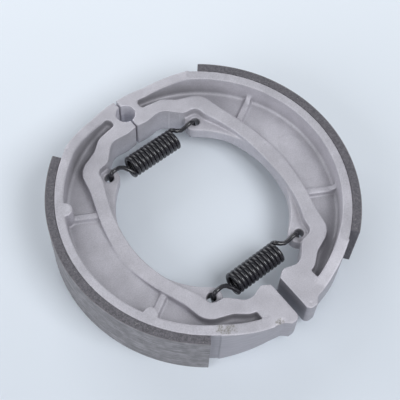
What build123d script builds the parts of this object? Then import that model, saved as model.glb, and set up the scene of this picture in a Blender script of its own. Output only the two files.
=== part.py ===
from build123d import *
import os
from math import cos, degrees, pi, radians, sin, sqrt, tan

# A pair of drum brake shoes: two identical die castings that share an anchor pin at one end and a cam at
# the other, each with a bonded friction lining, drawn together by two close-wound tension springs.
# Millimetres, +Z up. Origin on the drum axis, at the bottom face of the shoes. The anchor pin is on +Y and
# the cam on -Y. The left shoe is on -X. The right shoe is the same casting turned over about the Y axis.

# Drum and lining
drum_diameter = 140.0
shoe_width = 28.0
lining_thickness = 4.0
lining_half_angle = 52.2
bond_line = 0.1

# Travel: how far the springs draw each shoe in past the drum axis, and how far the cam swings them apart
retraction = 2.1
shoe_swing = 5.0
swing_clearance = 0.3

# Casting: outer rim that carries the lining, narrowing to the end blocks on both faces
rim_thickness = 3.8
rim_end_thickness = 5.0
seat_half_angle = 56.0
skin_step = 0.4
skin_crown = 1.5
shoulder_angle = 57.0
shoulder_slope = 16.9

# Casting: web and the pockets on both sides of it
web_thickness = 6.4
web_depth = 25.7
floor_fillet = 1.2
draft_angle = 2.0
anchor_pocket_angle = 80.2
anchor_pocket_depth = 9.8
anchor_pocket_bulge = 1.0
cam_pocket_angle = 72.2
cam_pocket_depth = 9.1
cam_pocket_slant = 1.0

# Casting: inner wall and end blocks
block_thickness = 15.6
block_depth = 17.6
wall_mid_thickness = 7.6
sag_flat = 4.0
sag_run = 28.0
sag_radius = 30.0

# Anchor pin bore, half in each shoe
anchor_bore_diameter = 9.0
anchor_inset = 9.0

# Cam faces and the nose behind them
cam_gap = 5.0
cam_nose_length = 7.6
cam_nose_proud = 1.8
cam_nose_angle = 79.5
cam_nose_slant = 3.0
cam_corner_radius = 2.4

# Ribs and ejector pads
rib_angle = 29.3
rib_width = 2.4
rib_base_width = 4.2
rib_length = 18.6
rib_rise = 1.8
rib_flare = 4.0
pad_radius = 3.1
pad_inset = 4.5

# Spring holes and the tabs that carry them
hole_angle = 53.7
hole_diameter = 4.2
tab_radius = 4.9

# Return springs. The right hook leaves the coil at its top and runs low, and the left hook arches over.
wire_diameter = 2.0
coil_diameter = 8.4
coil_pitch = 2.05
coil_part_turn = 0.6
coil_exit_angle = 40.0
hook_span = 10.8
hook_bend = 1.6
hook_lead = 3.4
low_lift = 0.6
high_lift = 1.9
hook_sway = 0.9
hook_tail = 2.6
hook_foot_drop = 0.4
hook_tail_drop = 1.0
hook_seat_clearance = 0.2
wire_steps = 10

# Places that follow from the sizes. The plan of a casting is drawn about its own arc centre.
seat_radius = drum_diameter / 2 - lining_thickness
skin_radius = seat_radius + skin_step - skin_crown * cos(radians(seat_half_angle))
half_width = shoe_width / 2
half_block = block_thickness / 2
half_web = web_thickness / 2
half_wall = wall_mid_thickness / 2
anchor_y = seat_radius - anchor_inset
anchor_gap = swing_clearance + anchor_bore_diameter / 2 * sin(radians(shoe_swing))
gap_x = -retraction - anchor_gap / 2
flat_x = -retraction - cam_gap / 2
web_inner_radius = seat_radius - web_depth
hole_radius = web_inner_radius + tab_radius
hole_x = hole_radius * cos(radians(hole_angle)) - retraction
hole_y = hole_radius * sin(radians(hole_angle))
hook_x = hole_x - hole_diameter / 2 + hook_seat_clearance + wire_diameter / 2
coil_turns = int(2 * (hook_x - hook_span) / coil_pitch - coil_part_turn) + coil_part_turn
pocket_draft = (half_width - half_web) * tan(radians(draft_angle))

# Both sides of the wavy inner wall are drawn by their bends, listed from the crown outwards: the angle of a
# bend from the crown, its distance in from the lining seat, and its radius. The long bend at the crown is
# given by the share it takes of the runs beside it, and bend_share is the most that any other bend takes.
pocket_crown_depth = 16.0
pocket_crown_share = 0.66
pocket_wave_angles = (41.5, 50.8, 62.5, 69.4)
pocket_wave_depths = (14.4, 8.1, 10.6, 8.8)
pocket_wave_radii = (3.1, 8.8, 5.5, 7.7)
hub_crown_depth = 18.6
hub_crown_share = 0.93
hub_wave_angles = (47.8, 53.4, 60.1, 71.7)
hub_wave_depths = (19.9, 15.8, 18.8, 14.6)
hub_wave_radii = (5.2, 3.3, 4.5, 7.1)
bend_share = 0.45

# Humps on the hub side of the two end blocks
anchor_hump_angle = 81.0
anchor_hump_depth = 17.7
anchor_hump_radius = 3.0
cam_hump_angle = 79.8
cam_hump_depth = 19.1
cam_hump_radius = 2.0


def at(angle, radius):
    """Point in the plan of a casting, at an angle from the crown."""
    return (-radius * cos(radians(angle)), radius * sin(radians(angle)))


def both_sides(crown, angles, depths, radii):
    """Bends of the wall from the cam end round the crown to the anchor end, the same on both sides."""
    waves = list(zip(angles, depths, radii))
    return [(-angle, depth, radius) for angle, depth, radius in waves[::-1]] + [(0, *crown)] + waves


def room(before, corner, after):
    """Radius of a bend that would take all of the shorter run beside it."""
    inward = Vector(*before) - Vector(*corner)
    onward = Vector(*after) - Vector(*corner)
    half_turn = radians(180 - inward.get_angle(onward)) / 2
    return min(inward.length, onward.length) / tan(half_turn)


def wall_line(bends, growth, start, finish):
    """One side of the wall, from the cam end to the anchor end, through all its bends."""
    route = [start] + [at(angle, seat_radius - depth - growth) for angle, depth, radius in bends] + [finish]
    radii = []
    for place, (angle, depth, radius) in enumerate(bends):
        space = room(*route[place:place + 3])
        radii.append(radius * space if angle == 0 else min(radius, bend_share * space))
    return FilletPolyline(*route, radius=radii)


def slab(plan, half_height):
    """A plan shape made solid to the same height on both sides of the middle plane."""
    return Pos(0, 0, -half_height) * extrude(plan, 2 * half_height)


def skin_y(x):
    """Distance from the crown line to the as-cast outer skin at a given x."""
    return sqrt(skin_radius ** 2 - (x + skin_crown) ** 2)


def both_faces(shape):
    """A shape with its copy on the other face of the casting."""
    return shape + mirror(shape, about=Plane.XY)


def sector(inner, outer, half_angle):
    """Flat ring sector about the arc centre, centred on the crown."""
    start = ThreePointArc(at(-half_angle, inner), at(0, inner), at(half_angle, inner))
    finish = ThreePointArc(at(-half_angle, outer), at(0, outer), at(half_angle, outer))
    sides = Line(start @ 1, finish @ 1) + Line(finish @ 0, start @ 0)
    return make_face(start + finish + sides)


def body_plan():
    """Everything between the outer skin and the hub side of the wall, with both end blocks."""
    outer_x = -retraction - (swing_clearance + (skin_y(gap_x) - anchor_y) * sin(radians(shoe_swing))) / 2
    anchor_skin = (outer_x, skin_y(outer_x))
    bore_top = (gap_x, anchor_y + anchor_bore_diameter / 2)
    anchor_corner = (gap_x, seat_radius - block_depth)
    cam_skin = (flat_x, -skin_y(flat_x))
    cam_corner = (flat_x, block_depth - seat_radius)
    skin = ThreePointArc(anchor_skin, (-skin_radius - skin_crown, 0), cam_skin)
    waves = both_sides((hub_crown_depth, hub_crown_share), hub_wave_angles, hub_wave_depths, hub_wave_radii)
    cam_hump = (-cam_hump_angle, cam_hump_depth, cam_hump_radius)
    anchor_hump = (anchor_hump_angle, anchor_hump_depth, anchor_hump_radius)
    hub = wall_line([cam_hump] + waves + [anchor_hump], 0, cam_corner, anchor_corner)
    ends = Line(cam_skin, cam_corner) + Polyline(anchor_corner, bore_top, anchor_skin)
    return make_face(skin + hub + ends)


def nose_plan():
    """Rounded toe that stands proud of the skin behind the cam face."""
    toe_y = -skin_y(flat_x) - cam_nose_proud
    heel = at(-cam_nose_angle, skin_radius)
    root_y = toe_y + 3 * cam_corner_radius
    toe_end = (flat_x - cam_nose_length + cam_nose_slant, toe_y)
    toe = Polyline((flat_x, root_y), (flat_x, toe_y), toe_end, heel, (heel[0], root_y), close=True)
    plan = make_face(toe)
    corner = plan.vertices().sort_by(Axis.Y)[:2].sort_by(Axis.X)[-1]
    return fillet(corner, cam_corner_radius)


def pocket_plan(growth):
    """The hollow between the rim and the wavy wall, grown on all sides."""
    rim = seat_radius - rim_thickness - pocket_draft + growth
    rim_end = seat_radius - rim_end_thickness - pocket_draft + growth
    turn = degrees(growth / seat_radius)
    anchor_end = seat_radius - anchor_pocket_depth - growth
    tip = at(anchor_pocket_angle + turn, (anchor_end + rim_end) / 2)
    anchor_wall = at(anchor_pocket_angle + turn - anchor_pocket_bulge, anchor_end)
    anchor_rim = at(anchor_pocket_angle + turn - anchor_pocket_bulge, rim_end)
    cam_wall = at(-cam_pocket_angle - turn, seat_radius - cam_pocket_depth - growth)
    cam_rim = at(-cam_pocket_angle - turn - cam_pocket_slant, rim_end)
    crown = (pocket_crown_depth, pocket_crown_share)
    waves = both_sides(crown, pocket_wave_angles, pocket_wave_depths, pocket_wave_radii)
    wall = wall_line(waves, growth, cam_wall, anchor_wall)
    outer = ThreePointArc(anchor_wall, tip, anchor_rim) + ThreePointArc(anchor_rim, at(0, rim), cam_rim)
    return make_face(wall + outer + Line(cam_rim, cam_wall))


def pocket():
    """Cutter for one pocket, from its rounded floor on the web up past the rim, with draft."""
    height = half_width - half_web + 1.0
    sections = []
    for angle in (0, 45, 90):
        rise = floor_fillet * (1 - cos(radians(angle)))
        sections.append(Pos(0, 0, rise) * pocket_plan(floor_fillet * (sin(radians(angle)) - 1)))
    sections.append(Pos(0, 0, height) * pocket_plan((height - floor_fillet) * tan(radians(draft_angle))))
    return Pos(0, 0, half_web) * loft(sections, ruled=True)


def shoulder():
    """Cutter that narrows the anchor end of the rim from full width to the block thickness."""
    drop = half_width - half_block
    run = drop / tan(radians(shoulder_slope))
    reach = seat_radius
    profile = Polyline((0, half_width), (run, half_block), (reach, half_block), (reach, shoe_width),
                       (0, shoe_width), close=True)
    along = (sin(radians(shoulder_angle)), cos(radians(shoulder_angle)), 0)
    outward = (-cos(radians(shoulder_angle)), sin(radians(shoulder_angle)), 0)
    plane = Plane(origin=(0, 0, 0), x_dir=along, z_dir=outward)
    cutter = extrude(plane * make_face(profile), drum_diameter)
    return cutter if plane.y_dir.Z > 0 else mirror(cutter, about=Plane.XY)


def sag():
    """Cutter that lowers the wall between the end blocks, smoothly, about the crown line."""
    high = sag_flat + sag_run
    line = FilletPolyline((-seat_radius, half_block), (-high, half_block), (-sag_flat, half_wall),
                          (sag_flat, half_wall), (high, half_block), (seat_radius, half_block),
                          radius=sag_radius)
    above = Polyline((seat_radius, half_block), (seat_radius, half_width), (-seat_radius, half_width),
                     (-seat_radius, half_block))
    plane = Plane(origin=(-drum_diameter, 0, 0), x_dir=(0, 1, 0), z_dir=(1, 0, 0))
    return extrude(plane * make_face(line + above), drum_diameter)


def rib(angle):
    """Low rib across both pockets, from the wall to the rim, flaring up where it meets the rim."""
    outer = seat_radius - rim_thickness / 2
    inner = outer - rib_length
    top = half_web + rib_rise
    flare = seat_radius - rim_thickness - pocket_draft - rib_flare
    rise = RadiusArc((flare, top), (flare + rib_flare, top + rib_flare), -rib_flare)
    outline = Polyline((flare + rib_flare, top + rib_flare), (outer, top + rib_flare), (outer, 0),
                       (inner, 0), (inner, top), (flare, top))
    upright = Plane(origin=(0, 0, 0), x_dir=(*at(angle, 1), 0), z_dir=(*at(angle - 90, 1), 0))
    blade = extrude(upright * make_face(rise + outline), rib_width / 2, both=True)
    section = Polyline((-rib_base_width / 2, 0), (-rib_base_width / 2, half_web), (-rib_width / 2, top),
                       (rib_width / 2, top), (rib_base_width / 2, half_web), (rib_base_width / 2, 0),
                       close=True)
    across = Plane(origin=(*at(angle, inner), 0), x_dir=(*at(angle + 90, 1), 0), z_dir=(*at(angle, 1), 0))
    foot = extrude(across * make_face(section), rib_length)
    return both_faces(blade + foot)


def pad(angle):
    """Ejector pad half sunk in the rim, on one face only."""
    place = Pos(*at(angle, seat_radius - pad_inset), 0)
    return place * extrude(Circle(pad_radius), half_width)


def tabs():
    """Inner edge of the web, with a rounded tab round each spring hole."""
    edge = sector(web_inner_radius, web_inner_radius + 2 * tab_radius, hole_angle)
    for angle in (-hole_angle, hole_angle):
        edge += Pos(*at(angle, hole_radius)) * Circle(tab_radius)
    return slab(edge, half_web)


def shoe_casting():
    """One shoe about its arc centre, with its middle plane at z = 0."""
    wall = slab(body_plan() + nose_plan(), half_block) - both_faces(sag())
    rim_plan = body_plan() & sector(seat_radius - rim_end_thickness - pocket_draft, drum_diameter, 89.9)
    rim = slab(rim_plan, half_width)
    anchor_shoulder = both_faces(shoulder())
    rim -= anchor_shoulder
    rim -= mirror(anchor_shoulder, about=Plane.XZ)
    casting = wall + rim
    casting -= both_faces(pocket())
    casting -= slab(sector(seat_radius, drum_diameter, seat_half_angle), shoe_width)
    casting += tabs()
    for angle in (-rib_angle, rib_angle):
        casting += rib(angle) + pad(angle)
    for angle in (-hole_angle, hole_angle):
        casting -= slab(Pos(*at(angle, hole_radius)) * Circle(hole_diameter / 2), half_width)
    bore = Pos(-retraction, anchor_y) * Circle(anchor_bore_diameter / 2)
    return casting - slab(bore, half_width)


def lining():
    """Friction lining on the seat of one shoe, about its arc centre."""
    arc = sector(seat_radius + bond_line, drum_diameter / 2, lining_half_angle)
    return slab(arc, half_width)


def placed_left(shape):
    """Where a shape drawn about the arc centre lies on the left shoe."""
    return Pos(retraction, 0, half_width) * shape


def placed_right(shape):
    """Where it lies on the right shoe, which is the left one turned over about the Y axis."""
    return Pos(-retraction, 0, half_width) * Rot(0, 180, 0) * shape


def rounded(points, radius):
    """Points of a wire that runs straight between the given corners and bends round each of them."""
    corners = [Vector(*point) for point in points]
    route = []
    for before, corner, after in zip(corners, corners[1:], corners[2:]):
        inward = (before - corner).normalized()
        onward = (after - corner).normalized()
        half_turn = radians(180 - inward.get_angle(onward)) / 2
        room = min((before - corner).length, (after - corner).length) / 2
        cut = min(radius * tan(half_turn), room)
        apex = corner + (inward + onward).normalized() * cut * (1 / sin(half_turn) - 1 / tan(half_turn))
        route += [corner + inward * cut, apex, corner + onward * cut]
    return route + [corners[-1]]


def coil_point(turn):
    """Point of the coil's centre line, in turns from its left end, with the spring's axis along X."""
    angle = radians(coil_exit_angle + 360 * (turn - coil_turns))
    radius = coil_diameter / 2
    return Vector((turn - coil_turns / 2) * coil_pitch, radius * cos(angle), radius * sin(angle))


def hook(coil, side, lift, sway):
    """Corners of one hook, from the end of the coil over the tab, down its hole and back under the web."""
    over = half_web + wire_diameter / 2 + lift
    under = -half_web - wire_diameter / 2 - hook_seat_clearance
    leave = coil[-1] + (coil[-1] - coil[-2]).normalized() * hook_bend * 0.8
    lead = (coil[-1].X + side * hook_lead, sway, half_web * 0.5 + lift)
    knee = (side * (hook_x - hook_lead), sway / 3, over)
    drop = (side * hook_x, 0, over)
    foot = (side * hook_x, 0, under - hook_foot_drop)
    tip = (side * (hook_x - hook_tail), 0, under - hook_tail_drop)
    return [coil[-2], leave, lead, knee, drop, foot, tip]


def spring():
    """Return spring along X about its own axis, with both hooks. The wire has a six-sided section."""
    steps = round(coil_turns * wire_steps)
    coil = [coil_point(coil_turns * step / steps) for step in range(steps + 1)]
    left = rounded(hook(coil[::-1], -1, high_lift, hook_sway), hook_bend)
    right = rounded(hook(coil, 1, low_lift, 0.0), hook_bend)
    route = Polyline(*left[::-1], *coil[1:-1], *right)
    wire_radius = wire_diameter / 2 * sqrt(2 * pi / (6 * sin(radians(60))))
    section = Plane(origin=route @ 0, z_dir=route % 0) * RegularPolygon(wire_radius, 6)
    return sweep(section, path=route, transition=Transition.RIGHT)


casting = shoe_casting()
coil_spring = spring()
pieces = {
    "shoe_left": placed_left(casting),
    "shoe_right": placed_right(casting),
    "lining_left": placed_left(lining()),
    "lining_right": placed_right(lining()),
    "return_spring_anchor": Pos(0, hole_y, half_width) * coil_spring,
    "return_spring_cam": Pos(0, -hole_y, half_width) * coil_spring,
}

os.makedirs("parts", exist_ok=True)
for name, shape in pieces.items():
    export_step(shape, "parts/" + name + ".step")
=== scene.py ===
# %% [markdown]
# A pair of drum brake shoes, dressed in Blender.
# The frame holds six exact solids: two die-cast shoes, two friction linings and two return springs.
# This lesson keeps the linings as they are, softens the edges of the castings, winds the springs from
# round wire and gives each metal and the lining its own finish.

from math import cos, radians, sin

import bpy
import numpy as np
from mathutils import Matrix, Vector


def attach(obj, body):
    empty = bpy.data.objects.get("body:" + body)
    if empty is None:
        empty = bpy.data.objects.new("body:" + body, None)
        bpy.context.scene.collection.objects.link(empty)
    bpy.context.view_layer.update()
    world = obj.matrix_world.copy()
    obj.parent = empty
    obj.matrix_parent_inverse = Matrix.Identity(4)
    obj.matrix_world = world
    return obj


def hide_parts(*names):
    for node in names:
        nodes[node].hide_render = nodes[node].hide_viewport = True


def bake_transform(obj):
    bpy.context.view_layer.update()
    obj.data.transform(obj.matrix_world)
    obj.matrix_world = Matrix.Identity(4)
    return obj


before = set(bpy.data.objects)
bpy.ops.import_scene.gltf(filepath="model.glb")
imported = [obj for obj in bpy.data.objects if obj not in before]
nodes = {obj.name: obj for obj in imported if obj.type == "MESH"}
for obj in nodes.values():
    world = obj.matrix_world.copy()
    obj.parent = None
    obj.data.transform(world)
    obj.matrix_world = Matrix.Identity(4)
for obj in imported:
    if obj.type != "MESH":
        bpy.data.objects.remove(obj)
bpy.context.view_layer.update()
print("nodes:", sorted(nodes))

# %% [markdown]
# The camera looks down on the pair from the front left, at about sixty degrees.
# Its three axes are written out as a matrix, because a matrix states a view exactly, where three
# turning angles would depend on the order in which they are applied.

# %% Camera
camera_place = (-0.13098, -0.14439, 0.38423)
camera_right = Vector((0.78041, -0.62458, 0.02925)).normalized()
camera_back = Vector((-0.3156, -0.3531, 0.8807)).normalized()
sensor_width = 36.0
focal_length = 84.64

bpy.ops.object.select_all(action="DESELECT")
bpy.ops.object.camera_add(location=camera_place)
camera = bpy.context.object
camera.name = "camera"
camera_up = camera_back.cross(camera_right).normalized()
camera_right = camera_up.cross(camera_back)
axes = Matrix((camera_right, camera_up, camera_back)).transposed()
camera.matrix_world = Matrix.Translation(camera_place) @ axes.to_4x4()
camera.data.sensor_width = sensor_width
camera.data.lens = focal_length
bpy.context.scene.camera = camera
bpy.context.scene.view_settings.view_transform = "Standard"
print("camera looks along", [round(-part, 3) for part in camera_back])

# %% [markdown]
# Every finish in this lesson is a tree of shader nodes. A few small helpers add a node, feed it, mix
# two colours, do a sum and stretch a range. They keep each tree as short to read as what it does,
# where nodes written out one by one would fill a page for each metal.

# %% Helpers for shader trees
def material(name):
    """A new material with its node tree and its shader."""
    made = bpy.data.materials.new(name)
    made.use_nodes = True
    return made, made.node_tree, made.node_tree.nodes["Principled BSDF"]


def add(tree, kind, **settings):
    """A new node in a tree, with its properties set."""
    node = tree.nodes.new(kind)
    for label, value in settings.items():
        setattr(node, label, value)
    return node


def feed(tree, socket, value):
    """Link an input to another socket, or give it a fixed value."""
    if isinstance(value, bpy.types.NodeSocket):
        tree.links.new(value, socket)
    else:
        socket.default_value = value


def mix_colour(tree, factor, first, second, blend="MIX"):
    """A colour mix node. Each input is a socket or a fixed value."""
    node = add(tree, "ShaderNodeMix", data_type="RGBA", blend_type=blend)
    for slot, value in ((0, factor), (6, first), (7, second)):
        feed(tree, node.inputs[slot], value)
    return node.outputs[2]


def work_out(tree, operation, *values):
    """A math node on two or three sockets or numbers."""
    node = add(tree, "ShaderNodeMath", operation=operation)
    for slot, value in enumerate(values):
        feed(tree, node.inputs[slot], value)
    return node.outputs["Value"]


def measure(tree, operation, *vectors):
    """A vector math node that gives one number: a length, a distance or a dot product."""
    node = add(tree, "ShaderNodeVectorMath", operation=operation)
    for slot, vector in enumerate(vectors):
        feed(tree, node.inputs[slot], vector)
    return node.outputs["Value"]


def spread(tree, value, source, target=(0.0, 1.0)):
    """A map range node that stretches one range over another, clamped."""
    node = add(tree, "ShaderNodeMapRange")
    numbers = (*source, *target)
    for label, number in zip(("From Min", "From Max", "To Min", "To Max"), numbers):
        node.inputs[label].default_value = number
    feed(tree, node.inputs["Value"], value)
    return node.outputs["Result"]


print("helpers ready for", bpy.app.version_string)

# %% [markdown]
# The pair lies on a pale matte sheet, whose colour is painted a lighter blue towards the back as
# painted light. A curved backdrop would do the same, but one big plane needs no seam to hide. Far
# from the object the sheet also glows a little, for the camera and for reflections only, so it looks
# bright and sheds no extra light on the metal.

# %% Floor
floor_size = 4.0
floor_drop = 0.0001
floor_near = (0.665, 0.708, 0.765, 1)
floor_far = (0.850, 0.900, 0.955, 1)
fade_heading = (0.55, 0.835, 0.0)
fade_run = (-0.15, 0.20)
back_glow = 0.10
back_glow_start = 0.2
far_glow = 0.60
far_glow_run = (0.35, 1.6)
floor_roughness = 0.7
floor_shine = 0.2

bpy.ops.mesh.primitive_plane_add(size=floor_size, location=(0, 0, -floor_drop))
floor = bpy.context.object
floor.name = "floor"
floor_paint, floor_tree, floor_shader = material("pale_sheet")
floor_place = add(floor_tree, "ShaderNodeTexCoord").outputs["Object"]
# painted light: the sheet's colour grows lighter towards the back, as if more light fell there
painted_light_fade = spread(floor_tree, measure(floor_tree, "DOT_PRODUCT", floor_place, fade_heading), fade_run)
floor_colour = mix_colour(floor_tree, painted_light_fade, floor_near, floor_far)
feed(floor_tree, floor_shader.inputs["Base Color"], floor_colour)
feed(floor_tree, floor_shader.inputs["Emission Color"], floor_colour)
glow = work_out(floor_tree, "ADD",
                spread(floor_tree, painted_light_fade, (back_glow_start, 1.0), (0.0, back_glow)),
                spread(floor_tree, measure(floor_tree, "LENGTH", floor_place), far_glow_run,
                       (0.0, far_glow)))
floor_rays = add(floor_tree, "ShaderNodeLightPath").outputs
seen = work_out(floor_tree, "MAXIMUM", floor_rays["Is Camera Ray"], floor_rays["Is Glossy Ray"])
feed(floor_tree, floor_shader.inputs["Emission Strength"],
     work_out(floor_tree, "MULTIPLY", glow, seen))
floor_shader.inputs["Roughness"].default_value = floor_roughness
floor_shader.inputs["Specular IOR Level"].default_value = floor_shine
floor.data.materials.append(floor_paint)
print("floor is", floor_size, "m wide, in", floor_paint.name)

# %% [markdown]
# The room is bright and even, so its light comes from the world. Three softboxes a metre away add the
# soft shadows and the bright lines on the springs. Bare lamps would give the same light with hard
# shadows, which a matte casting in a light tent doesn't have. The camera sees a brighter room than
# the object does, so the background stays pale without more light on the metal.

# %% Light
room_colour = (0.93, 0.97, 1.0, 1)
room_strength = 0.24
room_seen = 0.85
lamp_colour = (0.95, 0.97, 1.0)
softboxes = [("window_softbox", (-0.89, 0.0, 0.46), 0.8, 4.7),
             ("front_softbox", (0.135, -0.585, 0.80), 0.5, 5.8),
             ("back_softbox", (0.13, 0.90, 0.42), 0.8, 4.2)]

world = bpy.data.worlds.new("bright_room")
world.use_nodes = True
room = world.node_tree.nodes["Background"]
room.inputs["Color"].default_value = room_colour
room_rays = add(world.node_tree, "ShaderNodeLightPath").outputs
feed(world.node_tree, room.inputs["Strength"],
     spread(world.node_tree, room_rays["Is Camera Ray"], (0.0, 1.0), (room_strength, room_seen)))
bpy.context.scene.world = world

for name, place, size, power in softboxes:
    bpy.ops.object.light_add(type="AREA", location=place)
    lamp = bpy.context.object
    lamp.name = name
    lamp.data.shape = "SQUARE"
    lamp.data.size = size
    lamp.data.energy = power
    lamp.data.color = lamp_colour
    lamp.rotation_euler = (-lamp.location).to_track_quat("-Z", "Y").to_euler()
    print(name, "at", [round(part, 2) for part in lamp.location], "with", power, "W")

# %% [markdown]
# Every metal here has a fine grain, from blasting, cutting or oxide, and a stain that drifts over it.
# Pictures of metal would need a layout for each piece and would show their repeats, so both are
# noise: one fine and one many times as large. They read the object's own coordinates in metres, so
# the pattern has a real size. More than one finish uses them, so they are one node group.

# %% Node group: grain and stain
noise_span = (0.3, 0.7)
tight_span = (0.35, 0.65)
noise_detail = 4.0
raggedness = {"Grain": 0.65, "Stain": 0.6}


def new_group(name, inputs, outputs):
    """An empty shader node group with named sockets."""
    group = bpy.data.node_groups.new(name, "ShaderNodeTree")
    for in_out, sockets in (("INPUT", inputs), ("OUTPUT", outputs)):
        for label, kind in sockets:
            group.interface.new_socket(name=label, in_out=in_out, socket_type="NodeSocket" + kind)
    return group, group.nodes.new("NodeGroupInput"), group.nodes.new("NodeGroupOutput")


def noise(tree, vector, scale, detail=3.0, rough=0.5):
    """A noise texture's level on a vector socket. The scale is a number or another socket."""
    node = add(tree, "ShaderNodeTexNoise")
    for label, value in (("Vector", vector), ("Scale", scale), ("Detail", detail),
                         ("Roughness", rough)):
        feed(tree, node.inputs[label], value)
    return node.outputs["Fac"]


grain_group, grain_in, grain_out = new_group(
    "grain_and_stain",
    [("Vector", "Vector"), ("Grain Scale", "Float"), ("Stain Scale", "Float")],
    [("Grain", "Float"), ("Stain", "Float")])
for label, rough in raggedness.items():
    level = noise(grain_group, grain_in.outputs["Vector"], grain_in.outputs[label + " Scale"],
                  noise_detail, rough)
    feed(grain_group, grain_out.inputs[label], level)


def grained(tree, vector, grain_scale, stain_scale):
    """The two levels of the group in a material, at that material's own scales."""
    node = add(tree, "ShaderNodeGroup", node_tree=grain_group)
    for label, value in (("Vector", vector), ("Grain Scale", grain_scale),
                         ("Stain Scale", stain_scale)):
        feed(tree, node.inputs[label], value)
    return node.outputs["Grain"], node.outputs["Stain"]


print("group", grain_group.name, "has", len(grain_group.nodes), "nodes")

# %% [markdown]
# Handling polishes the outer edges of a casting, and leaves them paler than the blasted faces. The
# edges could be picked out by hand, but the render engine already knows how pointed each place on a
# fine mesh is. Only a place that is nearly a corner counts, so a gentle bend in a wall stays plain.

# %% Node group: rubbed edges
corner_pointiness = (0.60, 0.70)

edge_group, edge_in, edge_out = new_group(
    "rubbed_edges", [("Rubbing", "Float")], [("Edge", "Float")])
pointed = add(edge_group, "ShaderNodeNewGeometry").outputs["Pointiness"]
feed(edge_group, edge_out.inputs["Edge"],
     work_out(edge_group, "MULTIPLY", spread(edge_group, pointed, corner_pointiness),
              edge_in.outputs["Rubbing"]))
print("group", edge_group.name, "has", len(edge_group.nodes), "nodes")

# %% [markdown]
# Knocks in the box have left four scuffs on one shoe: ragged patches of dark specks along its rim.
# They could be painted on a picture of the metal, but each needs only a place and a size. Noise moves
# a patch's round edge in and out, so that it isn't a disc, and the grain breaks it into specks.
# The pits of the blasting are finer still. A bump tilts the light on them, with no change of shape.

# %% Pits and scuffs
scuffs = [((-0.0334, -0.0529, 0.0282), 0.0022), ((-0.0309, -0.0544, 0.0282), 0.0026),
          ((-0.0286, -0.0556, 0.0282), 0.0020), ((-0.0108, -0.0636, 0.0220), 0.0018)]
scuff_wobble = 0.003
scuff_core = 0.6
scuff_specks = (0.45, 0.53)


def bump(tree, shader, height, strength, distance):
    """A bump node from a height socket to a shader's normal."""
    node = add(tree, "ShaderNodeBump")
    for label, value in (("Strength", strength), ("Distance", distance), ("Height", height)):
        feed(tree, node.inputs[label], value)
    feed(tree, shader.inputs["Normal"], node.outputs["Normal"])


def scuff_mask(tree, place, grain_level):
    """Speckled patches at the scuffed places: dark specks that thin out towards each patch's rim."""
    wobble = spread(tree, noise(tree, place, scale=500.0), (0.0, 1.0), (-scuff_wobble, scuff_wobble))
    patches = 0.0
    for centre, radius in scuffs:
        away = work_out(tree, "ADD", measure(tree, "DISTANCE", place, centre), wobble)
        patch = spread(tree, away, (radius, radius * scuff_core))
        patches = work_out(tree, "MAXIMUM", patches, patch)
    return work_out(tree, "MULTIPLY", patches, spread(tree, grain_level, scuff_specks))


print(len(scuffs), "scuffs, up to", max(radius for place, radius in scuffs), "m in radius")

# %% [markdown]
# Die-cast aluminium that has been shot-blasted is a matte, slightly mauve grey. A plain grey would
# look like plastic, so the shader is part metal, with a high roughness, a stain that drifts between
# two greys and a bump of fine pits. Ambient occlusion paints shade into the inner corners and
# recesses, and the rubbed edges go over it all.

# %% Cast aluminium
cast_dark = (0.490, 0.475, 0.515, 1)
cast_pale = (0.620, 0.602, 0.650, 1)
cast_edge = (0.760, 0.755, 0.790, 1)
cast_scuff = (0.310, 0.295, 0.275, 1)
cast_rubbing = 0.6
cast_speckle = (0.86, 1.10)
cast_roughness = (0.48, 0.66)
metal_share = 0.35
corner_reach = 0.010
corner_shade = 0.55
corner_openness = (0.25, 0.85)

cast, cast_tree, cast_shader = material("cast_aluminium")
cast_place = add(cast_tree, "ShaderNodeTexCoord").outputs["Object"]
cast_grain, cast_stain = grained(cast_tree, cast_place, grain_scale=2200.0, stain_scale=70.0)
cast_body = mix_colour(cast_tree, spread(cast_tree, cast_stain, noise_span), cast_dark, cast_pale)
cast_specked = mix_colour(cast_tree, 1.0, cast_body,
                          spread(cast_tree, cast_grain, tight_span, cast_speckle), "MULTIPLY")
# painted shade: ambient occlusion darkens the colour in the inner corners and recesses
corners = add(cast_tree, "ShaderNodeAmbientOcclusion", samples=8, only_local=True)
corners.inputs["Distance"].default_value = corner_reach
painted_corner_shade = spread(cast_tree, corners.outputs["AO"], corner_openness, (corner_shade, 1.0))
cast_corner_shaded = mix_colour(cast_tree, 1.0, cast_specked, painted_corner_shade, "MULTIPLY")
cast_scuffed = mix_colour(cast_tree, scuff_mask(cast_tree, cast_place, cast_grain), cast_corner_shaded,
                          cast_scuff)
rubbed = add(cast_tree, "ShaderNodeGroup", node_tree=edge_group)
rubbed.inputs["Rubbing"].default_value = cast_rubbing
feed(cast_tree, cast_shader.inputs["Base Color"],
     mix_colour(cast_tree, rubbed.outputs["Edge"], cast_scuffed, cast_edge))
feed(cast_tree, cast_shader.inputs["Roughness"],
     spread(cast_tree, cast_grain, noise_span, cast_roughness))
cast_shader.inputs["Metallic"].default_value = metal_share
bump(cast_tree, cast_shader, cast_grain, strength=0.35, distance=0.00012)
print("material", cast.name, "has", len(cast_tree.nodes), "nodes")

# %% [markdown]
# Three kinds of face on a shoe are cut after casting: the flat that the cam pushes on is milled, the
# outside that meets the lining is turned and the bore for the anchor pin is reamed. A cut face is
# smoother than the cast skin and shows faint marks along the cutter's path. The same grain does for
# all three, squeezed in height so that it runs in flat lines, and only the greys differ. The greys
# also hold painted light: the milled flat in the narrow gap and the turned outside are painted dark
# as shade, and the bore is painted pale as light.

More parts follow.
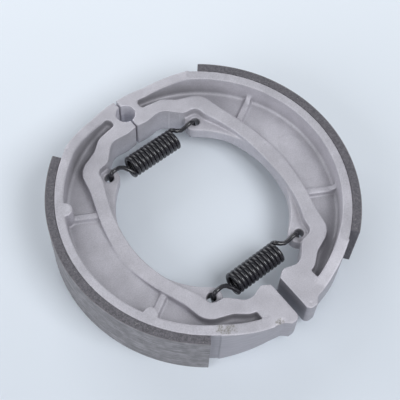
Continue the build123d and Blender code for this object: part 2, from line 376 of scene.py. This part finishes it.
# %% Machined faces
# painted shade and light: the milled and turned greys are darkened as painted shade, the reamed greys
# paled as painted light
machined_and_painted_greys = {"milled_cam_face_painted_shade": ((0.270, 0.262, 0.292, 1), (0.345, 0.335, 0.370, 1)),
                  "turned_skin_painted_shade": ((0.355, 0.342, 0.374, 1), (0.435, 0.420, 0.456, 1)),
                  "reamed_bore_painted_light": ((0.640, 0.625, 0.675, 1), (0.780, 0.765, 0.815, 1))}
machined_roughness = (0.42, 0.58)
tool_squeeze = (1, 1, 6)


def machined(name, dark, pale):
    """A finish for faces that a cutter has gone over: fine flat tool marks and a faint stain."""
    made, tree, shader = material(name)
    squeezed = add(tree, "ShaderNodeMapping")
    squeezed.inputs["Scale"].default_value = tool_squeeze
    feed(tree, squeezed.inputs["Vector"], add(tree, "ShaderNodeTexCoord").outputs["Object"])
    marks, blotches = grained(tree, squeezed.outputs["Vector"], grain_scale=900.0, stain_scale=120.0)
    feed(tree, shader.inputs["Base Color"],
         mix_colour(tree, spread(tree, blotches, noise_span), dark, pale))
    feed(tree, shader.inputs["Roughness"], spread(tree, marks, noise_span, machined_roughness))
    shader.inputs["Metallic"].default_value = metal_share
    bump(tree, shader, marks, strength=0.2, distance=0.00006)
    return made


milled, turned, reamed = [machined(name, *greys) for name, greys in machined_and_painted_greys.items()]
print("machined finishes:", list(machined_and_painted_greys))

# %% [markdown]
# The lining's outer face is ground to the drum's radius, so its scratches run round the drum. A
# pattern on plain X, Y and Z would cross the arc at every angle. This group turns a place into the
# drum's own coordinates: the radius, the way round the arc and the height. The way round is squeezed
# to a twentieth, which draws any noise on it out into long streaks.

# %% Node group: round the drum
drum_radius = 0.070
arc_squeeze = 0.05

drum_group, drum_in, drum_out = new_group(
    "round_the_drum", [("Vector", "Vector")], [("Vector", "Vector"), ("Radius", "Float")])
parts = add(drum_group, "ShaderNodeSeparateXYZ")
flat = add(drum_group, "ShaderNodeCombineXYZ")
rolled = add(drum_group, "ShaderNodeCombineXYZ")
feed(drum_group, parts.inputs["Vector"], drum_in.outputs["Vector"])
feed(drum_group, flat.inputs["X"], parts.outputs["X"])
feed(drum_group, flat.inputs["Y"], parts.outputs["Y"])
from_axis = measure(drum_group, "LENGTH", flat.outputs["Vector"])
turn = work_out(drum_group, "ARCTAN2", parts.outputs["Y"], parts.outputs["X"])
feed(drum_group, rolled.inputs["X"], from_axis)
feed(drum_group, rolled.inputs["Y"],
     work_out(drum_group, "MULTIPLY", turn, arc_squeeze * drum_radius))
feed(drum_group, rolled.inputs["Z"], parts.outputs["Z"])
feed(drum_group, drum_out.inputs["Vector"], rolled.outputs["Vector"])
feed(drum_group, drum_out.inputs["Radius"], from_axis)
print("group", drum_group.name, "has", len(drum_group.nodes), "nodes")

# %% [markdown]
# A lining is pressed from resin, fibre and metal chips. Its sides are dark and flecked, and its outer
# face is greyer, streaked and dusty from the grinding. One material does for both, and the radius
# tells it where the ground face is, so the two meet exactly at the corner. The chips are small round
# cells of a Voronoi texture. Each shoe has its own arc centre, so each lining gets its own copy.

# %% Friction lining
lining_dark = (0.080, 0.076, 0.086, 1)
lining_pale = (0.160, 0.152, 0.170, 1)
lining_ground = (0.240, 0.232, 0.246, 1)
lining_chip = (0.330, 0.315, 0.300, 1)
lining_roughness = (0.62, 0.86)
fleck_span = (0.38, 0.62)
chip_radius = (0.16, 0.08)
ground_skin = (drum_radius - 0.0004, drum_radius - 0.00015)
streak_strength = (0.1, 0.95)
streak_shade = (0.62, 1.35)
streak_patches = (0.72, 1.22)
pit_share = 0.5
shoe_setback = 0.0021


def lining_finish(name, centre_x):
    """The lining's material, drawn about the arc centre of one shoe."""
    made, tree, shader = material(name)
    place = add(tree, "ShaderNodeTexCoord").outputs["Object"]
    # X is turned to point at the crown, so that the angle's seam is off the lining
    side = -1 if centre_x > 0 else 1
    centred = add(tree, "ShaderNodeMapping")
    centred.inputs["Scale"].default_value = (side, 1, 1)
    centred.inputs["Location"].default_value = (-side * centre_x, 0, 0)
    feed(tree, centred.inputs["Vector"], place)
    drum = add(tree, "ShaderNodeGroup", node_tree=drum_group)
    feed(tree, drum.inputs["Vector"], centred.outputs["Vector"])

    streak = noise(tree, drum.outputs["Vector"], scale=1400.0, rough=0.6)
    mottle = noise(tree, place, scale=260.0, detail=4.0, rough=0.65)
    fine = noise(tree, place, scale=2600.0, rough=0.6)
    fleck = noise(tree, place, scale=1300.0, detail=4.0, rough=0.72)

    body = mix_colour(tree, spread(tree, fleck, fleck_span), lining_dark, lining_pale)
    outer = spread(tree, drum.outputs["Radius"], ground_skin)
    ground = mix_colour(tree, outer, body, lining_ground)
    worn = work_out(tree, "MULTIPLY", streak, spread(tree, mottle, tight_span, streak_patches))
    shade = spread(tree, worn, noise_span, streak_shade)
    streaked = mix_colour(tree, spread(tree, outer, (0.0, 1.0), streak_strength), ground, shade,
                          "MULTIPLY")
    chips = add(tree, "ShaderNodeTexVoronoi")
    chips.inputs["Scale"].default_value = 900.0
    feed(tree, chips.inputs["Vector"], place)
    chip_mask = spread(tree, chips.outputs["Distance"], chip_radius)
    feed(tree, shader.inputs["Base Color"], mix_colour(tree, chip_mask, streaked, lining_chip))
    feed(tree, shader.inputs["Roughness"], spread(tree, mottle, noise_span, lining_roughness))
    pits = work_out(tree, "MULTIPLY_ADD", fleck, pit_share, fine)
    bump(tree, shader, pits, strength=0.4, distance=0.0001)
    return made


lining_materials = {"left": lining_finish("friction_lining_left", shoe_setback),
                    "right": lining_finish("friction_lining_right", -shoe_setback)}
print("lining materials:", [made.name for made in lining_materials.values()])

# %% [markdown]
# The springs are oil-blackened steel: almost black, smooth enough for a thin bright line along every
# turn, and a little paler where the oil has dried. The black is an oxide that covers the metal, so
# the shader isn't metallic. A strong, sharp reflection over a dark body gives the oiled look.

# %% Blackened spring steel
steel_dark = (0.013, 0.013, 0.018, 1)
steel_pale = (0.030, 0.029, 0.034, 1)
steel_roughness = (0.18, 0.30)
steel_shine = 0.75

steel, steel_tree, steel_shader = material("blackened_spring_steel")
steel_place = add(steel_tree, "ShaderNodeTexCoord").outputs["Object"]
steel_grain, steel_stain = grained(steel_tree, steel_place, grain_scale=1800.0, stain_scale=320.0)
feed(steel_tree, steel_shader.inputs["Base Color"],
     mix_colour(steel_tree, spread(steel_tree, steel_stain, tight_span), steel_dark, steel_pale))
feed(steel_tree, steel_shader.inputs["Roughness"],
     spread(steel_tree, steel_grain, noise_span, steel_roughness))
steel_shader.inputs["Specular IOR Level"].default_value = steel_shine
bump(steel_tree, steel_shader, steel_grain, strength=0.10, distance=0.00004)
print("material", steel.name, "has", len(steel_tree.nodes), "nodes")

# %% [markdown]
# A real casting has no knife edges: the metal is drawn round every corner of the die, and blasting
# dulls it further. A copy of each solid is wrapped in a fine even mesh and smoothed a little, which
# rounds outer edges and fills inner corners at once, as the die does. A bevel would have to treat
# each edge by itself, and it fails where many small facets meet. First come the tools for that: one
# selects, one applies a modifier, one merges points and one copies a node's mesh.

# %% Tools for meshes
merge_distance = 0.000002


def select_only(*objects):
    """Select these objects and make the first one active."""
    bpy.ops.object.select_all(action="DESELECT")
    for one in objects:
        one.select_set(True)
    bpy.context.view_layer.objects.active = objects[0]


def apply_modifier(piece, kind, **settings):
    """Add one modifier, set it up and apply it."""
    select_only(piece)
    modifier = piece.modifiers.new(kind.lower(), kind)
    for label, value in settings.items():
        setattr(modifier, label, value)
    bpy.ops.object.modifier_apply(modifier=modifier.name)


def merge_points(piece, distance, turn_outwards=False):
    """Merge the points of a piece that are this close, and point its faces outwards if asked."""
    select_only(piece)
    bpy.ops.object.mode_set(mode="EDIT")
    bpy.ops.mesh.select_all(action="SELECT")
    bpy.ops.mesh.remove_doubles(threshold=distance)
    if turn_outwards:
        bpy.ops.mesh.normals_make_consistent(inside=False)
    bpy.ops.object.mode_set(mode="OBJECT")


def copy_of(node, name):
    """A separate object with its own merged copy of a node's mesh."""
    piece = bpy.data.objects.new(name, nodes[node].data.copy())
    bpy.context.collection.objects.link(piece)
    merge_points(piece, merge_distance)
    return piece


print("points under", merge_distance, "m apart are merged")

# %% [markdown]
# The seat of the lining and the bore of the pin are machined after casting, so their edges stay
# crisp. The wrapped copy could be cut again there, but it is enough that the smoothing hardly touches
# them. A vertex group holds the share of the smoothing that each point gets.

# %% Seat and bore stay crisp
seat_radius = 0.066
seat_half_angle = radians(57)
seat_margin = 0.0008
pin_place = 0.057
pin_radius = 0.0045
pin_margin = 0.0006
crisp_share = 0.12


def rows_of(items, label):
    """One property of all vertices or faces of a mesh, three numbers to a row."""
    flat = np.empty(len(items) * 3, dtype=np.float32)
    items.foreach_get(label, flat)
    return flat.reshape(-1, 3)


def keep_crisp(piece, centre_x):
    """A vertex group that lets the smoothing pass over the machined seat and the bore."""
    places = rows_of(piece.data.vertices, "co")
    from_centre = np.hypot(places[:, 0] - centre_x, places[:, 1])
    from_crown = np.arctan2(np.abs(places[:, 1]), np.abs(places[:, 0] - centre_x))
    seat = (np.abs(from_centre - seat_radius) < seat_margin) & (from_crown < seat_half_angle)
    bore = np.hypot(places[:, 0], places[:, 1] - pin_place) < pin_radius + pin_margin
    crisp = seat | bore
    group = piece.vertex_groups.new(name="soft")
    group.add(np.flatnonzero(~crisp).tolist(), 1.0, "REPLACE")
    group.add(np.flatnonzero(crisp).tolist(), crisp_share, "REPLACE")
    return group.name


print("seat and bore keep", crisp_share, "of the smoothing")

# %% [markdown]
# A casting is one piece of metal with four finishes on it. Cutting the mesh apart would open seams,
# so each face is given its finish by where it lies and which way it looks: the flats beside the gap
# at the cam end, the outside beyond the seat's radius, and the wall of the pin's bore.

# %% Which faces are machined
cast_slot, milled_shaded_slot, turned_shaded_slot, reamed_lit_slot = range(4)
cam_half_gap = 0.006
cam_start = -0.04
cam_squareness = 0.97
outside_radius = 0.058
outside_steepness = 0.6
outside_lean = 0.02
bore_skin = 0.0002


def mark_machined_and_painted(piece, centre_x):
    """Give the cam's face, the turned outside and the pin's bore their own finishes."""
    centres = rows_of(piece.data.polygons, "center")
    normals = rows_of(piece.data.polygons, "normal")
    across = centres[:, 0] - centre_x
    flat = (np.abs(centres[:, 0]) < cam_half_gap) & (centres[:, 1] < cam_start)
    flat &= np.abs(normals[:, 0]) > cam_squareness
    outside = np.hypot(across, centres[:, 1]) > outside_radius
    outside &= np.abs(normals[:, 2]) < outside_steepness
    outside &= normals[:, 0] * across + normals[:, 1] * centres[:, 1] > outside_lean
    bore = np.hypot(centres[:, 0], centres[:, 1] - pin_place) < pin_radius + bore_skin
    # the slots also place painted shade on the cam flats and the outside, and painted light in the
    # bore
    finish = np.select([flat, bore, outside], [milled_shaded_slot, reamed_lit_slot, turned_shaded_slot], cast_slot)
    piece.data.polygons.foreach_set("material_index", finish.astype(np.int32))


print("finishes by slot:", [made.name for made in (cast, milled, turned, reamed)])

# %% [markdown]
# Each shoe also carries small marks. The die's ejector pin leaves a faint ring on the web, which is
# a thin wire ring sunk into the copy before it is wrapped, so that it melts into the surface. Knocks
# are shallow dents that push the finished surface in. Sculpting could do both, but a place, a radius
# and a push say the same in one line.

# %% Castings with drawn edges
skin_voxel = 0.00032
smooth_passes = 14
smooth_factor = 0.5
triangle_limit = 190000
ring_radius = 0.0053
ring_wire = 0.00019
ring_segments = 48
ring_sides = 10
ring_place = 0.053
web_top = 0.0172
web_bottom = 0.0108
left_dents = [((-0.0097, -0.0643, 0.0222), 0.0020, (0.0001, 0.0003, -0.0008)),
              ((-0.0128, -0.0646, 0.0220), 0.0016, (0.0001, 0.0002, -0.0004)),
              ((-0.0335, 0.0556, 0.0284), 0.0016, (0.0003, -0.0002, -0.0003)),
              ((-0.0311, -0.0543, 0.0282), 0.0011, (0.0, 0.0, -0.00012)),
              ((-0.0296, -0.0550, 0.0282), 0.0009, (0.0, 0.0, -0.00012)),
              ((-0.0328, -0.0534, 0.0282), 0.0010, (0.0, 0.0, -0.00010))]
right_dents = [((0.0423, 0.0071, 0.0180), 0.0009, (-0.0001, 0.0, -0.0003)),
               ((0.0346, 0.0191, 0.0202), 0.0008, (0.0, 0.0, -0.0001)),
               ((0.0052, -0.0655, 0.0222), 0.0016, (0.0001, 0.0002, -0.0003))]


def dent(piece, centre, radius, push):
    """Push the surface near a point, most at the point and not at all at the radius."""
    places = rows_of(piece.data.vertices, "co")
    near = 1 - (np.linalg.norm(places - np.array(centre), axis=1) / radius) ** 2
    places += np.clip(near, 0, 1)[:, None] ** 2 * np.array(push)
    piece.data.vertices.foreach_set("co", places.ravel().astype(np.float32))
    piece.data.update()


def soft_casting(node, name, body, centre_x, ring_x, ring_z, dents):
    """A shoe casting with its edges drawn, its corners filled and a pin mark on its web."""
    piece = copy_of(node, name)
    bpy.ops.mesh.primitive_torus_add(major_radius=ring_radius, minor_radius=ring_wire,
                                     major_segments=ring_segments, minor_segments=ring_sides,
                                     location=(ring_x, 0, ring_z))
    select_only(piece, bpy.context.object)
    bpy.ops.object.join()
    apply_modifier(piece, "REMESH", mode="VOXEL", voxel_size=skin_voxel, use_smooth_shade=True)
    apply_modifier(piece, "SMOOTH", factor=smooth_factor, iterations=smooth_passes,
                   vertex_group=keep_crisp(piece, centre_x))
    piece.vertex_groups.clear()
    for place, radius, push in dents:
        dent(piece, place, radius, push)
    triangles = len(piece.data.polygons) * 2
    if triangles > triangle_limit:
        apply_modifier(piece, "DECIMATE", ratio=triangle_limit / triangles)
    select_only(piece)
    bpy.ops.object.shade_smooth()
    piece.data.materials.clear()
    for finish in (cast, milled, turned, reamed):
        piece.data.materials.append(finish)
    mark_machined_and_painted(piece, centre_x)
    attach(piece, body)
    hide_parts(node)
    print(name, "has", len(piece.data.polygons), "faces from", triangles, "triangles")


soft_casting("shoe_left", "casting_left", "left_shoe", shoe_setback, shoe_setback - ring_place,
             web_bottom, left_dents)
soft_casting("shoe_right", "casting_right", "right_shoe", -shoe_setback, ring_place - shoe_setback,
             web_top, right_dents)

# %% [markdown]
# A lining is ground after it is bonded, so its corners are sharp, as in the exact solid. It needs no
# new mesh, only its finish in place of the plain one.

# %% Linings
for side, finish in lining_materials.items():
    lining = nodes["lining_" + side].data
    lining.materials.clear()
    lining.materials.append(finish)
    print("lining_" + side, "wears", finish.name)

# %% [markdown]
# A close-wound tension spring is one wire: a hook, a coil and another hook. It is drawn as one curve
# with a round section, so the wire leaves the coil without a joint, and is then turned into a mesh. A
# coil made with the screw modifier would need its hooks joined on afterwards. Both hooks run over the
# tab of a shoe and down through its hole. The right one starts low, and the left one arches.

# %% Route of the wire
wire_radius = 0.001
coil_radius = 0.0042
coil_turns = 12.6
coil_pitch = 0.00205
coil_exit_angle = 40.0
turn_points = 28
half_web = 0.0032
lead_height = half_web / 2
hook_x = 0.02376
hook_bend = 0.0013
hook_lead = 0.0034
hook_tail = 0.0026
hook_clearance = 0.0002
foot_drop = 0.0004
tail_drop = 0.001
high_lift = 0.0019
low_lift = 0.0006
high_sway = 0.0009


def coil_point(turn):
    """Point of the coil's centre line, in turns from its left end."""
    angle = radians(coil_exit_angle + 360 * (turn - coil_turns))
    return Vector(((turn - coil_turns / 2) * coil_pitch, coil_radius * cos(angle),
                   coil_radius * sin(angle)))


def hook_points(end, before, side, lift, sway):
    """Route of a hook from the end of the coil over the tab, down its hole and back under the web."""
    over = half_web + wire_radius + lift
    under = -half_web - wire_radius - hook_clearance
    leave = end + (end - before).normalized() * hook_bend
    return [leave, Vector((end.x + side * hook_lead, sway, lead_height + lift)),
            Vector((side * (hook_x - hook_lead), sway / 3, over)),
            Vector((side * hook_x, 0, over)),
            Vector((side * hook_x, 0, under - foot_drop)),
            Vector((side * (hook_x - hook_tail), 0, under - tail_drop))]


def wire_route():
    """All points of one spring, from the tip of the left hook to the tip of the right one."""
    steps = round(coil_turns * turn_points)
    coil = [coil_point(coil_turns * step / steps) for step in range(steps + 1)]
    left = hook_points(coil[0], coil[1], -1, high_lift, high_sway)
    right = hook_points(coil[-1], coil[-2], 1, low_lift, 0.0)
    return left[::-1] + coil + right


print("a spring's route has", len(wire_route()), "points")

# %% [markdown]
# The two springs are the same, one near the anchor pin and one near the cam, so both are wound from
# one route, each with its own mesh.

# %% Return springs
spring_y = 0.03643
middle_z = 0.014
wire_merge_distance = 0.000005
wire_rounding = 5
curve_order = 3
curve_steps = 2


def wind_spring(name, centre_y, node):
    """One return spring as a mesh, placed at its own height and offset."""
    bpy.ops.object.select_all(action="DESELECT")
    bpy.ops.curve.primitive_nurbs_path_add(location=(0, 0, 0))
    wire = bpy.context.object
    wire.name = name
    wire.data.splines.clear()
    spline = wire.data.splines.new("NURBS")
    route = [point + Vector((0, centre_y, middle_z)) for point in wire_route()]
    spline.points.add(len(route) - 1)
    for point, place in zip(spline.points, route):
        point.co = (*place, 1)
    spline.order_u = curve_order
    spline.use_endpoint_u = True
    spline.resolution_u = curve_steps
    wire.data.bevel_depth = wire_radius
    wire.data.bevel_resolution = wire_rounding
    wire.data.use_fill_caps = True
    select_only(wire)
    bpy.ops.object.convert(target="MESH")
    wire = bpy.context.object
    merge_points(wire, wire_merge_distance, turn_outwards=True)
    bpy.ops.object.shade_smooth()
    wire.data.materials.clear()
    wire.data.materials.append(steel)
    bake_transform(wire)
    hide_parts(node)
    print(name, "has", len(wire.data.polygons), "faces")


wind_spring("spring_anchor_end", spring_y, "return_spring_anchor")
wind_spring("spring_cam_end", -spring_y, "return_spring_cam")
